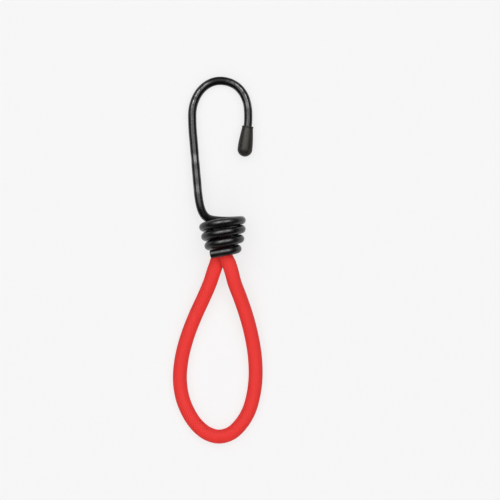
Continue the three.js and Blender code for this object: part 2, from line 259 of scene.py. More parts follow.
route = MM * np.array([
    [0.6, -21.1, 11.2],
    [0.8, -25.2, 11.1],
    [1.1, -30.1, 11.05],
    [1.5, -33.6, 10.6],
    [2.4, -36.8, 10.1],
    [3.5, -39.5, 9.6],
    [4.5, -42.7, 8.9],
    [5.7, -47.2, 7.9],
    [8.0, -53.3, 6.6],
    [10.5, -60.7, 5.2],
    [12.7, -69.3, 3.8],
    [14.0, -77.8, 2.8],
    [14.2, -86.4, LIE_HEIGHT + 0.02],
    [13.2, -93.8, LIE_HEIGHT],
    [11.3, -99.9, LIE_HEIGHT],
    [8.1, -105.1, LIE_HEIGHT],
    [4.1, -108.7, LIE_HEIGHT],
    [-0.7, -110.0, LIE_HEIGHT],
    [-5.5, -108.7, LIE_HEIGHT],
    [-9.9, -105.1, LIE_HEIGHT],
    [-13.4, -99.8, LIE_HEIGHT],
    [-15.7, -93.8, LIE_HEIGHT],
    [-16.7, -86.4, LIE_HEIGHT + 0.02],
    [-15.9, -77.8, LIE_HEIGHT + 0.1],
    [-13.7, -69.3, 2.8],
    [-10.4, -60.7, 3.6],
    [-7.0, -53.3, 4.5],
    [-4.4, -47.2, 5.3],
    [-2.9, -42.7, 5.9],
    [-1.8, -39.5, 6.3],
    [-1.0, -36.8, 6.7],
    [0.4, -33.6, 7.3],
    [1.0, -30.1, 6.95],
    [0.8, -25.2, 6.9],
    [0.6, -21.1, 6.8],
])

squeeze = np.array([
    [0, 0.91, 0.725],
    [0.1, 0.81, 0.675],
    [0.22, 0.81, 0.675],
    [0.34, 0.87, 0.695],
    [0.44, 0.87, 0.6],
    [0.5, 0.87, 0.51],
    [0.56, 0.92, 0.53],
    [0.64, 1, 0.64],
    [0.75, 1.02, 0.78],
    [0.88, 1.01, 0.92],
    [1, 1, 1],
])

# %% Follow the route
cord_line = smooth_path(route, ROUTE_STEPS)
cord_length = distances_along(cord_line)[-1]
print(f"the cord is {cord_length / MM:.1f} mm long")


def cord_stations(distances):
    """At each distance along the cord: its centre, the sideways and upward directions of its
    section, and the two shares of its thickness that the coil leaves it. Each share is a mean
    of five readings of the table, close together, which rounds off its corners."""
    centres = points_at(cord_line, distances)
    tangents = directions(centres, distances)
    rise = square_to(tangents, np.array([[0.0, 0.0, 1.0]]))
    side = np.cross(rise, tangents)
    share = np.minimum(distances, cord_length - distances) / GRIP_LENGTH
    samples = [share + step * SQUEEZE_BLUR for step in (-1, -0.5, 0, 0.5, 1)]
    across, high = (
        np.mean([np.interp(x, squeeze[:, 0], squeeze[:, k]) for x in samples], axis=0)
        for k in (1, 2)
    )
    return centres, side, rise, across[:, None], high[:, None]


# %% [markdown]
# ## The braided sheath
#
# The sheath is braided from sixteen flat yarns one way round and sixteen the other. Where two
# yarns cross, one lies over the other, and the next crossing is the other way about. With a as
# the cosine of pi times the number of one yarn, and b the same for the other, the surface is the
# higher of (|a| + ab) / 2 and (|b| - ab) / 2. It is real relief in the mesh, 0.075 mm deep.
# Both ends are melted shut, so there the relief fades out and the end is round.

# %% The braid's relief and the cord's rings
CORD_RINGS = 940
CORD_SIDES = 96
END_RINGS = 9
END_RING_ANGLES = (0.12, 1.3)
BORE_RINGS = 260
BORE_SIDES = 16
YARNS = 16
YARN_PITCH = 1.05 * MM
BRAID_RELIEF = 0.075 * MM
SHEATH_WALL = 0.75 * MM
SEALED_END = 0.6 * MM
END_ROUNDING = 1.3 * MM
MELTED_LENGTH = 2.2 * MM
TABLE_SOFTNESS = 0.3 * MM


def braid_height(distances, around):
    """The relief of the braid from 0 to 1, at a distance along and a share of the way round."""
    a = np.cos(np.pi * (YARNS * around + distances / YARN_PITCH))
    b = np.cos(np.pi * (YARNS * around - distances / YARN_PITCH))
    return np.maximum((np.abs(a) + a * b) / 2, (np.abs(b) - a * b) / 2)


def rounded_end(distances, length, rounding):
    """The share of its radius that a rod keeps near its ends: a quarter circle at each end."""
    inside = np.clip(np.minimum(distances, length - distances) / rounding, 0, 1)
    return np.sqrt(1 - (1 - inside) ** 2)


def cord_tube(distances, radius_grid, sides):
    """Rings of the cord's own oval section, each point at its own radius from the centre."""
    centres, side, rise, across, high = cord_stations(distances)
    angles = 2 * np.pi * np.arange(sides) / sides
    rings = carry_along(
        centres,
        side,
        rise,
        across * radius_grid * np.cos(angles),
        high * radius_grid * np.sin(angles),
    )
    return rest_on_table(rings, TABLE_SOFTNESS)


# %% Make the sheath
end_steps = END_ROUNDING * (1 - np.cos(np.linspace(*END_RING_ANGLES, END_RINGS)))
cord_distances = np.concatenate([
    end_steps,
    np.linspace(END_ROUNDING, cord_length - END_ROUNDING, CORD_RINGS),
    cord_length - end_steps[::-1],
])
from_end = np.minimum(cord_distances, cord_length - cord_distances)
around = np.arange(CORD_SIDES) / CORD_SIDES
unmelted = np.clip(from_end / MELTED_LENGTH, 0, 1)[:, None] ** 2
relief = BRAID_RELIEF * unmelted * (braid_height(cord_distances[:, None], around) - 1)
outer_radius = CORD_DIAMETER / 2 * rounded_end(cord_distances, cord_length, END_ROUNDING)
outer_radius = outer_radius[:, None] + relief
outside = closed_skin(cord_tube(cord_distances, outer_radius, CORD_SIDES), cord_distances)

bore_distances = np.linspace(SEALED_END, cord_length - SEALED_END, BORE_RINGS)
bore_radius = np.full((BORE_RINGS, 1), CORD_DIAMETER / 2 - SHEATH_WALL)
inside = closed_skin(cord_tube(bore_distances, bore_radius, BORE_SIDES), bore_distances)

cord = make_piece("braided_cord", outside, turned_in(inside))
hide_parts("sheath_right_leg", "sheath_left_leg", "sheath_loop")

# %% [markdown]
# ## The rubber core
#
# Inside the sheath, seven latex strands run side by side from one end to the other: one in the
# middle and six round it. They give the cord its stretch. Each is a plain tube on the same
# stations as the sheath, moved off the centre by its own place in the bundle. Its ends are
# rounded, all but a small flat.

# %% Make the strands
STRAND_DIAMETER = 1.25 * MM
STRAND_SPACING = 1.34 * MM
STRAND_GAP = 0.15 * MM
STRAND_ROUNDING = 0.4 * MM
STRAND_FLAT = 0.05 * MM
STRAND_RINGS = 420
STRAND_SIDES = 14

strand_ends = SEALED_END + STRAND_GAP
strand_distances = np.linspace(strand_ends, cord_length - strand_ends, STRAND_RINGS)
strand_length = strand_distances[-1] - strand_distances[0]
strand_radius = STRAND_DIAMETER / 2 * rounded_end(
    strand_distances - strand_ends + STRAND_FLAT,
    strand_length + 2 * STRAND_FLAT,
    STRAND_ROUNDING,
)


def make_strand(number, offset):
    """A round strand in the cord, at an offset [across, up] in the cord's section."""
    centres, side, rise, across, high = cord_stations(strand_distances)
    angles = 2 * np.pi * np.arange(STRAND_SIDES) / STRAND_SIDES
    section = strand_radius[:, None]
    rings = carry_along(
        centres,
        side,
        rise,
        across * (offset[0] + section * np.cos(angles)),
        high * (offset[1] + section * np.sin(angles)),
    )
    rings = rest_on_table(rings, TABLE_SOFTNESS)
    strand = make_piece(f"latex_strand_{number}", closed_skin(rings, strand_distances))
    parts = [f"rubber_strand_{number}_{part}" for part in ("right_leg", "left_leg", "loop")]
    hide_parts(*parts)
    return strand


ring_angles = np.pi / 3 * np.arange(6)
ring_offsets = STRAND_SPACING * np.stack([np.cos(ring_angles), np.sin(ring_angles)], axis=1)
strand_offsets = np.vstack([[[0, 0]], ring_offsets])
strands = [make_strand(i + 1, offset) for i, offset in enumerate(strand_offsets)]

# %% [markdown]
# ## The cord's pieces baked in place
#
# The coil holds both ends, so they stay with the hook. The loop is pulled away from it along the
# table, and the two legs between them stretch. Here the cord and its strands only have their
# places baked into their meshes.

for piece in [cord, *strands]:
    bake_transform(piece)

# %% [markdown]
# ## The wire's line
#
# One steel wire makes the whole hook. From its tip it runs up a short leg, over an arch that is
# half an ellipse with a slightly fuller right shoulder, down the long shank, round a tight turn
# and into the coil. Each stretch is a plain formula, so the line is worked out as arrays and
# joined, tip first. The hook is plane but slopes down from the coil until its arch lies on the
# table.

# %% The hook's sizes and legs
COATED_RADIUS = 1.7 * MM
ARCH_X = -0.2 * MM
ARCH_Y = 21.5 * MM
ARCH_HALF_WIDTH = 11.45 * MM
ARCH_HEIGHT = 13.95 * MM
ARCH_SHOULDER = 0.4 * MM
SHANK_LEAN = np.radians(5)
SHANK_BEND = 8.7 * MM
SHANK_LENGTH = 22 * MM
TIP_PLUMB = 1.5 * MM
TIP_LEAN = np.radians(7)
TIP_BEND = 3.1 * MM
TIP_LENGTH = 8.8 * MM
HOOK_SLOPE = np.radians(4.1)
ARCH_STEPS = 120
BEND_STEPS = 12
RUN_STEPS = 40


def hook_points(x, y):
    """Points of the sloping hook: its height grows from the arch's top towards the coil."""
    x, y = np.broadcast_arrays(x, y)
    z = COATED_RADIUS + (ARCH_Y + ARCH_HEIGHT - y) * np.tan(HOOK_SLOPE)
    return np.stack([x, y, z], axis=-1)


def leg(side, plumb, lean, bend_length, length):
    """One leg from the arch down: a plumb stretch, a slight bend of one radius, then a straight
    run that leans towards the middle. side is 1 for the tip's leg and -1 for the shank."""
    radius = bend_length / np.sin(lean)
    angles = np.linspace(0, lean, BEND_STEPS)
    bend_x = ARCH_X + side * (ARCH_HALF_WIDTH - radius * (1 - np.cos(angles)))
    bend_y = ARCH_Y - plumb - radius * np.sin(angles)
    down = np.linspace(0, length, RUN_STEPS)[1:]
    run_x = bend_x[-1] - side * down * np.tan(lean)
    run_y = bend_y[-1] - down
    points = hook_points(np.append(bend_x, run_x), np.append(bend_y, run_y))
    return points if plumb else points[1:]


# %% Lay out the hook
arch_angles = np.linspace(0, np.pi, ARCH_STEPS)
on_right = arch_angles < np.pi / 2
fuller = ARCH_SHOULDER * on_right * np.sin(2 * arch_angles) ** 2
arch_x = ARCH_X + (ARCH_HALF_WIDTH + fuller) * np.cos(arch_angles)
arch = hook_points(arch_x, ARCH_Y + (ARCH_HEIGHT + fuller) * np.sin(arch_angles))
tip_leg = leg(1, TIP_PLUMB, TIP_LEAN, TIP_BEND, TIP_LENGTH)[::-1]
shank = leg(-1, 0, SHANK_LEAN, SHANK_BEND, SHANK_LENGTH)
print("the arch's top is at y =", round(arch[:, 1].max() / MM, 1), "mm")

# %% [markdown]
# The coil is a helix whose radius shrinks with the square of the way down it, so that it closes
# on the cord at its mouth. It was wound by hand over a rod, and that shows: its turns are tilted,
# with their right sides up, each pass over the top rises a little, each one underneath drops,
# and its axis leans. A cubic curve leads from the shank into it, along the direction of each.
# The wire's cut end leaves the last turn on top and runs straight on.

# %% The coil's sizes and formula
COIL_X = 0.65 * MM
COIL_Y = -21.92 * MM
COIL_Z = 9.05 * MM
COIL_TOP_RADIUS = 9.6 * MM
COIL_MOUTH_RADIUS = 6.25 * MM
COIL_PITCH = 3.88 * MM
COIL_LEAN = 0.9 * MM
TURN_TILT = 0.6 * MM
FIRST_TILT = 0.55
TILT_LOSS = 0.7
FRONT_RISE = 0.25 * MM
UNDER_DROP = 0.5 * MM
COIL_START = np.radians(-120)
COIL_END = 7 * np.pi
CUT_END_ANGLE = np.radians(1182)
CUT_END_LENGTH = 4.7 * MM
SHANK_PULL = 9 * MM
COIL_PULL = 4 * MM
COIL_STEPS = 1100
TURN_STEPS = 60
CUT_END_STEPS = 12


def coil_points(angles):
    """A tapering helix round the Y direction. The angle is 0 at the first turn's right side. A
    cosine of it tilts the turns, the first half turn and the last ones less. A sine bulges
    them, less and less towards the mouth."""
    share = angles / COIL_END
    taper = np.maximum(share, 0) ** 2
    radius = COIL_TOP_RADIUS - (COIL_TOP_RADIUS - COIL_MOUTH_RADIUS) * taper - COATED_RADIUS
    growing = np.minimum(1, FIRST_TILT + (1 - FIRST_TILT) * angles / np.pi)
    tilt = TURN_TILT * growing * (1 - TILT_LOSS * share**3) * np.cos(angles)
    under = np.minimum(np.sin(angles), 0) ** 2
    bulge = (1 - share) * (FRONT_RISE * np.sin(angles) - UNDER_DROP * under)
    x = COIL_X + COIL_LEAN * share + radius * np.cos(angles)
    y = COIL_Y - COIL_PITCH * angles / (2 * np.pi) + tilt + bulge
    return np.stack([x, y, COIL_Z + radius * np.sin(angles)], axis=-1)


def bridge(start, start_pull, end_pull, end, count):
    """A cubic through its two ends, drawn towards the two points between them."""
    t = np.linspace(0, 1, count)[:, None]
    u = 1 - t
    return u**3 * start + 3 * u**2 * t * start_pull + 3 * u * t**2 * end_pull + t**3 * end


# %% Join the wire's line
coil = coil_points(np.linspace(COIL_START, CUT_END_ANGLE, COIL_STEPS))
down_shank = unit(shank[-1] - shank[-2])
into_coil = unit(coil[1] - coil[0])
turn = bridge(
    shank[-1],
    shank[-1] + SHANK_PULL * down_shank,
    coil[0] - COIL_PULL * into_coil,
    coil[0],
    TURN_STEPS,
)
along_cut_end = unit(coil[-1] - coil[-2])
cut_end = coil[-1] + np.linspace(0, CUT_END_LENGTH, CUT_END_STEPS)[1:, None] * along_cut_end
wire_line = np.vstack([tip_leg, arch, shank, turn[1:-1], coil, cut_end])
wire_length = distances_along(wire_line)[-1]
print(f"the wire is {wire_length / MM:.1f} mm long")

# %% [markdown]
# ## The steel wire and its coating
#
# The coating is a plastic sleeve over the drawn wire. It isn't perfectly even: it swells and
# thins by about a fiftieth of a millimetre, and that is what makes its highlight waver. Where
# the wire was cut, the edges of both are rounded a little. Both are tubes on the same line. A
# round section needs a direction to start each ring from, and the direction away from the
# coil's axis serves everywhere, because the wire never points along it.

# %% Rings round the wire
STEEL_RADIUS = 1.1 * MM
BORE_RADIUS = 1.13 * MM
COATING_WAVE = 0.022 * MM
LONG_WAVE = 3.1 * MM
SHORT_WAVE = 1.3 * MM
SLOW_WAVE = 7.7 * MM
COATING_EDGE = 0.3 * MM
COATING_EDGE_WALL = 0.3
STEEL_EDGE = 0.12 * MM
STEEL_EDGE_SHARE = 0.9
WIRE_SOFTNESS = 0.2 * MM
WIRE_RINGS = 1150
COATING_SIDES = 40
STEEL_SIDES = 20
CLOSE_RINGS = 7
CLOSE_ANGLE = 1.4


def fine_ended(length, edge, count):
    """Even distances along a rod, with a few more close to its two ends for their rounding."""
    close = edge * (1 - np.cos(np.linspace(0, CLOSE_ANGLE, CLOSE_RINGS)))
    return np.concatenate([close, np.linspace(edge, length - edge, count), length - close[::-1]])


wire_distances = fine_ended(wire_length, COATING_EDGE, WIRE_RINGS)
wire_centres = points_at(wire_line, wire_distances)
wire_tangents = directions(wire_centres, wire_distances)
from_axis = wire_centres - np.array([COIL_X, 0, COIL_Z])
wire_rise = square_to(wire_tangents, from_axis * np.array([1, 0, 1]))
wire_side = np.cross(wire_rise, wire_tangents)


def wire_tube(radius_grid, sides):
    """Rings round the wire's line, each point at its own radius."""
    angles = 2 * np.pi * np.arange(sides) / sides
    across = radius_grid * np.cos(angles)
    high = radius_grid * np.sin(angles)
    rings = carry_along(wire_centres, wire_side, wire_rise, across, high)
    return rest_on_table(rings, WIRE_SOFTNESS)


def coating_wave(distances, angles):
    """How far the coating swells: three sines of different lengths, turning round the wire."""
    long_wave = np.sin(distances / LONG_WAVE + 2 * np.cos(angles))
    short_wave = np.sin(distances / SHORT_WAVE - angles)
    slow_wave = np.sin(distances / SLOW_WAVE + 2 * angles)
    return COATING_WAVE * (0.5 * long_wave + 0.15 * short_wave + 0.35 * slow_wave)


# %% Make the coating
coating_angles = 2 * np.pi * np.arange(COATING_SIDES) / COATING_SIDES
edge_share = rounded_end(wire_distances, wire_length, COATING_EDGE)[:, None]
wall_share = COATING_EDGE_WALL + (1 - COATING_EDGE_WALL) * edge_share
coating_radius = BORE_RADIUS + (COATED_RADIUS - BORE_RADIUS) * wall_share
coating_radius = coating_radius + coating_wave(wire_distances[:, None], coating_angles)
coating_outside = wire_tube(coating_radius, COATING_SIDES)
bore_radii = np.full((len(wire_distances), 1), BORE_RADIUS)
coating_bore = wire_tube(bore_radii, COATING_SIDES)[::-1]
coating_rings = np.vstack([coating_outside, coating_bore])
coating_along = np.concatenate([wire_distances, wire_distances[::-1]])
coating = make_piece("coated_wire", hollow_skin(coating_rings, coating_along))
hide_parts("wire_coating")
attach(coating, "hook")

# %% Make the steel wire
cut_edge = rounded_end(wire_distances, wire_length, STEEL_EDGE)[:, None]
steel_radius = STEEL_RADIUS * (STEEL_EDGE_SHARE + (1 - STEEL_EDGE_SHARE) * cut_edge)
steel_rings = wire_tube(steel_radius, STEEL_SIDES)
steel = make_piece("steel_wire", closed_skin(steel_rings, wire_distances))
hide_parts("hook_wire")
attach(steel, "hook")

# %% [markdown]
# ## The cap on the tip
#
# A moulded vinyl cap covers the wire's cut tip: a narrow open neck with a small lip, a cone that
# widens, and a rounded end. It is round, so it is turned here: a profile of [distance from the
# neck, radius] pairs is carried round the wire's own direction at the tip. The profile starts
# at the bottom of the bore, comes out over the lip and runs down the outside to the end.

# %% The cap's profile
CAP_LENGTH = 12.5 * MM
CAP_RADIUS = 3 * MM
CAP_SIDES = 96
DOME_RINGS = 26
DOME_END_ANGLE = 0.03
RIDGE_HEIGHT = 0.035 * MM
RIDGE_WIDTH = 0.05
RIDGE_FADE = 2 * MM
RIDGE_START = 0.42

tip_direction = unit(wire_line[0] - wire_line[5])
neck = wire_line[0] - TIP_LENGTH * tip_direction
dome_angles = np.linspace(np.pi / 2, DOME_END_ANGLE, DOME_RINGS)
dome = np.stack([
    CAP_LENGTH - CAP_RADIUS + CAP_RADIUS * np.cos(dome_angles),
    CAP_RADIUS * np.sin(dome_angles),
], axis=1)
neck_profile = MM * np.array([
    [9.1, 0.3],
    [9.1, 1.2],
    [9.05, 1.68],
    [8.9, 1.74],
    [4.0, 1.74],
    [0.3, 1.75],
    [0.06, 1.8],
    [0.0, 1.9],
    [0.0, 2.18],
    [0.06, 2.3],
    [0.2, 2.36],
    [0.42, 2.36],
    [0.56, 2.31],
    [0.66, 2.27],
    [0.9, 2.28],
    [1.7, 2.38],
    [2.9, 2.54],
    [4.2, 2.69],
    [5.4, 2.82],
    [6.7, 2.92],
    [7.8, 2.975],
    [8.7, 2.995],
])
cap_profile = np.vstack([neck_profile, dome])

# %% Turn the profile


def turned(profile, origin, direction, sides, ridge):
    """A profile of distances and radii carried round an axis. ridge adds to the radius."""
    rise = square_to(direction[None], np.array([[0.0, 0.0, 1.0]]))[0]
    side = np.cross(rise, direction)
    angles = 2 * np.pi * np.arange(sides) / sides
    radius = profile[:, 1:] + ridge(profile[:, :1], angles)
    centres = origin + profile[:, :1] * direction
    rows = len(profile)
    return carry_along(
        centres,
        np.broadcast_to(side, (rows, 3)),
        np.broadcast_to(rise, (rows, 3)),
        radius * np.cos(angles),
        radius * np.sin(angles),
    )


def parting_line(distance, angles):
    """The two halves of the mould leave a low ridge on each side of the cap: a bell curve of
    the way round it. It starts at a share of the profile's rows and fades at the cap's end."""
    started = np.linspace(0, 1, len(distance))[:, None] > RIDGE_START
    fade = np.clip((CAP_LENGTH - distance) / RIDGE_FADE, 0, 1)
    bell = np.exp(-((np.cos(angles - np.pi / 2) / RIDGE_WIDTH) ** 2))
    return RIDGE_HEIGHT * started * fade * bell


cap_rings = turned(cap_profile, neck, tip_direction, CAP_SIDES, parting_line)
cap_along = distances_along(cap_profile)
cap = make_piece("vinyl_cap", closed_skin(cap_rings, cap_along))
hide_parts("tip_cap")
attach(cap, "hook")

# %% [markdown]
# ## The strip round the cord's ends
#
# Inside the wide turns of the coil a black steel strip holds the two ends together, one
# above the other, so that they can't slip out through the narrow mouth. It is bent to a tall
# oval whose ends leave a slit on the right. Its section, a rounded rectangle with a shallow
# groove pressed along the middle of its outer face, is carried along that oval.

# %% The strip's sizes
STRIP_DISTANCE = 4.2 * MM
STRIP_WIDTH = 2.6 * MM
STRIP_THICKNESS = 0.8 * MM
STRIP_CLEARANCE = 0.25 * MM
STRIP_SLIT = 0.5 * MM
STRIP_CORNER = 0.16 * MM
GROOVE_DEPTH = 0.12 * MM
GROOVE_WIDTH = 0.5 * MM
LIP_THICKNESS = 0.5
LIP_WIDTH = 0.9
STRIP_RINGS = 130
ARC_STEPS = 40
CORNER_STEPS = 5
GROOVE_STEPS = 15

grip_distances = np.array([0, STRIP_DISTANCE, cord_length - STRIP_DISTANCE, cord_length])
grip_centres, _, _, grip_across, grip_high = cord_stations(grip_distances)
strip_centre = grip_centres[1:3].mean(axis=0)
stack_rise = abs(grip_centres[1, 2] - grip_centres[2, 2]) / 2
to_middle = STRIP_CLEARANCE + STRIP_THICKNESS / 2
strip_half_width = CORD_DIAMETER / 2 * grip_across[1, 0] + to_middle
strip_half_height = stack_rise + CORD_DIAMETER / 2 * grip_high[1, 0] + to_middle
strip_straight = strip_half_height - strip_half_width

# %% The strip's line and section


def oval_line(half_width, straight):
    """A rectangle with a half circle above and below, from one lip of the slit on the right,
    over the top, to the other lip."""
    arc = np.linspace(0, np.pi, ARC_STEPS)
    top = np.stack([half_width * np.cos(arc), straight + half_width * np.sin(arc)], axis=1)
    lips = np.array([[half_width, STRIP_SLIT / 2], [half_width, -STRIP_SLIT / 2]])
    line = np.vstack([lips[:1], top, -top, lips[1:]])
    line = np.stack([line[:, 0], np.zeros(len(line)), line[:, 1]], axis=1)
    distances = fine_ended(distances_along(line)[-1], STRIP_CORNER, STRIP_RINGS)
    return points_at(line, distances), distances


def strip_section():
    """A rounded rectangle as [outward, sideways] pairs. The groove in its outer face is a bell
    curve of the distance from its middle."""
    half = np.array([STRIP_THICKNESS / 2, STRIP_WIDTH / 2]) - STRIP_CORNER
    quarter = np.linspace(0, np.pi / 2, CORNER_STEPS)
    angles = np.concatenate([quarter + k * np.pi / 2 for k in range(4)])
    signs = np.repeat([[1, 1], [-1, 1], [-1, -1], [1, -1]], CORNER_STEPS, axis=0)
    section = signs * half + STRIP_CORNER * np.stack([np.cos(angles), np.sin(angles)], axis=1)
    face = np.linspace(-half[1], half[1], GROOVE_STEPS)[1:-1]
    dip = GROOVE_DEPTH * np.exp(-((face / GROOVE_WIDTH) ** 2))
    groove = np.stack([STRIP_THICKNESS / 2 - dip, face], axis=1)
    return np.vstack([section, groove])


# %% Make the strip
strip_line, strip_distances = oval_line(strip_half_width, strip_straight)
strip_tangents = directions(strip_line, strip_distances)
sideways = np.broadcast_to([0.0, 1.0, 0.0], strip_line.shape)
outward = np.cross(sideways, strip_tangents)
section = strip_section()
lip_share = rounded_end(strip_distances, strip_distances[-1], STRIP_CORNER)[:, None]
lip_share = LIP_THICKNESS + (1 - LIP_THICKNESS) * lip_share
strip_rings = carry_along(
    strip_line + strip_centre,
    outward,
    sideways,
    section[:, 0] * lip_share,
    section[:, 1] * (LIP_WIDTH + (1 - LIP_WIDTH) * lip_share),
)
strip = make_piece("end_strip", closed_skin(strip_rings, strip_distances))
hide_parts("end_clip")
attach(strip, "hook")

# %% [markdown]
# ## Finishes made of nodes
#
# Every finish starts from Blender's Principled shader. Small patterns change its colour and
# roughness and bend its normals. The patterns read either Object coordinates, which are metres
# in this scene, or the lay map of the piece. One helper adds a node and fills its sockets.

# %% Node helpers


def start_material(name):
    """A material with its Principled shader, ready for patterns."""
    print("finish:", name)
    material = bpy.data.materials.new(name)
    material.use_nodes = True
    return material, material.node_tree, material.node_tree.nodes["Principled BSDF"]


def add_node(tree, kind, inputs, **settings):
    """One node. Settings are its own choices. Each input is a value, or an output to link."""
    node = tree.nodes.new(kind)
    for name, value in settings.items():
        setattr(node, name, value)
    for socket, value in inputs.items():
        if isinstance(value, bpy.types.NodeSocket):
            tree.links.new(value, node.inputs[socket])
        else:
            node.inputs[socket].default_value = value
    return node


def calculate(tree, operation, *values):
    """The result of one step of arithmetic on numbers and outputs."""
    node = add_node(tree, "ShaderNodeMath", dict(enumerate(values)), operation=operation)
    return node.outputs[0]


def noise(tree, place, scale, detail=3.0, roughness=0.5):
    """A cloudy pattern from 0 to 1, read at a place."""
    inputs = {"Vector": place, "Scale": scale, "Detail": detail, "Roughness": roughness}
    return add_node(tree, "ShaderNodeTexNoise", inputs).outputs[0]


def in_range(tree, value, low, high, to_low, to_high):
    """A number carried from one range to another, and held at its ends."""
    inputs = {"Value": value, 1: low, 2: high, 3: to_low, 4: to_high}
    return add_node(tree, "ShaderNodeMapRange", inputs).outputs[0]


def colours(tree, factor, stops):
    """A run of colours. Each stop is a place from 0 to 1 and a red, green and blue."""
    ramp = add_node(tree, "ShaderNodeValToRGB", {"Fac": factor})
    elements = ramp.color_ramp.elements
    for i, (place, colour) in enumerate(stops):
        element = elements[i] if i < len(elements) else elements.new(place)
        element.position = place
        element.color = (*colour, 1.0)
    return ramp.outputs[0]


def mixed(tree, share, first, second):
    """Two colours mixed: the first at a share of 0, the second at 1."""
    inputs = {0: share, 6: first, 7: second}
    return add_node(tree, "ShaderNodeMix", inputs, data_type="RGBA").outputs[2]


def bump(tree, height, distance, strength):
    """Normals bent as if the surface had this height, a pattern times a distance in metres."""
    inputs = {"Height": height, "Distance": distance, "Strength": strength}
    return add_node(tree, "ShaderNodeBump", inputs).outputs[0]


def finish_with(tree, shader, **sockets):
    """Sets or links sockets of the shader. An underscore in a name stands for a space."""
    for name, value in sockets.items():
        socket = shader.inputs[name.replace("_", " ")]
        if isinstance(value, bpy.types.NodeSocket):
            tree.links.new(value, socket)
        else:
            socket.default_value = value


def object_place(tree):
    """The place on the piece, in metres."""
    return add_node(tree, "ShaderNodeTexCoord", {}).outputs["Object"]


def lay_place(tree):
    """The distance along the piece, in millimetres, and the share of the way round it."""
    place = add_node(tree, "ShaderNodeUVMap", {}, uv_map="lay").outputs[0]
    split = add_node(tree, "ShaderNodeSeparateXYZ", {0: place})
    return split.outputs[0], split.outputs[1]


def point(tree, *values):
    """Three numbers or outputs joined to a place."""
    inputs = dict(enumerate(values))
    return add_node(tree, "ShaderNodeCombineXYZ", inputs).outputs[0]


# %% [markdown]
# ## Red braided polyester
#
# The yarns are bright red and lie so close that the cord looks almost smooth from a distance.
# Nearer, each yarn is a flat ribbon of fine threads, and the colour darkens in the low line
# between it and the next as painted shade that follows the weave's relief.
# The same formula as the relief says which yarn is on top, so the threads can run along it.
# Inside the coil and just below its mouth, the cord's colour is painted nearly black as painted
# shade, which keeps the gaps between the turns dark. At its very ends the braid has melted to
# dark, glossy plastic.

# %% Weave pattern
braid, tree, shader = start_material("braided_polyester")
along, round_share = lay_place(tree)
yarns_along = calculate(tree, "DIVIDE", along, YARN_PITCH / MM)
yarns_round = calculate(tree, "MULTIPLY", round_share, YARNS)
first = calculate(tree, "ADD", yarns_round, yarns_along)
second = calculate(tree, "SUBTRACT", yarns_round, yarns_along)
a = calculate(tree, "COSINE", calculate(tree, "MULTIPLY", first, np.pi))
b = calculate(tree, "COSINE", calculate(tree, "MULTIPLY", second, np.pi))
crossing = calculate(tree, "MULTIPLY", a, b)
first_height = calculate(tree, "ADD", calculate(tree, "ABSOLUTE", a), crossing)
second_height = calculate(tree, "SUBTRACT", calculate(tree, "ABSOLUTE", b), crossing)
weave = calculate(tree, "MULTIPLY", calculate(tree, "MAXIMUM", first_height, second_height), 0.5)
first_on_top = calculate(tree, "GREATER_THAN", first_height, second_height)

# %% Threads, dye and painted shade of the weave
THREADS_PER_YARN = 7.0

# Threads are streaks: the pattern changes fast across a yarn and slowly along it.
across_first = calculate(tree, "MULTIPLY", first, THREADS_PER_YARN)
across_second = calculate(tree, "MULTIPLY", second, THREADS_PER_YARN)
first_streak = point(tree, across_first, calculate(tree, "MULTIPLY", second, 0.5), 0.0)
second_streak = point(tree, across_second, calculate(tree, "MULTIPLY", first, 0.5), 5.0)
streak = add_node(
    tree,
    "ShaderNodeMix",
    {0: first_on_top, 4: second_streak, 5: first_streak},
    data_type="VECTOR",
).outputs[1]
threads = noise(tree, streak, 1.0, detail=2.0)

# The dye is a little uneven along the cord.
cloudy = noise(tree, object_place(tree), 90.0, detail=2.0)
# The weave's height darkens the colour in the low parts between yarns as painted shade. The
# threads and the cloudy dye add the yarn's own tone.
shade = calculate(tree, "MULTIPLY_ADD", threads, 0.3, calculate(tree, "MULTIPLY", weave, 0.75))
shade = calculate(tree, "MULTIPLY_ADD", cloudy, 0.16, calculate(tree, "SUBTRACT", shade, 0.13))
red = colours(tree, shade, [
    (0.0, (0.62, 0.009, 0.008)),
    (0.35, (0.87, 0.025, 0.021)),
    (0.72, (0.96, 0.052, 0.045)),
    (1.0, (0.98, 0.085, 0.075)),
])

# %% Painted shade in the coil, melted ends and the finish
MELTED_FROM_END = (1.6, 3.0)
MELTED_COLOUR = (0.05, 0.004, 0.004, 1.0)
COIL_SHADE_FROM_END = (13.6, 16.4)
COIL_SHADE_COLOUR = (0.006, 0.004, 0.004, 1.0)

to_far_end = calculate(tree, "SUBTRACT", cord_length / MM, along)
to_end = calculate(tree, "MINIMUM", along, to_far_end)
ragged = calculate(tree, "MULTIPLY_ADD", cloudy, 1.4, to_end)
melted = in_range(tree, ragged, *MELTED_FROM_END, 1.0, 0.0)
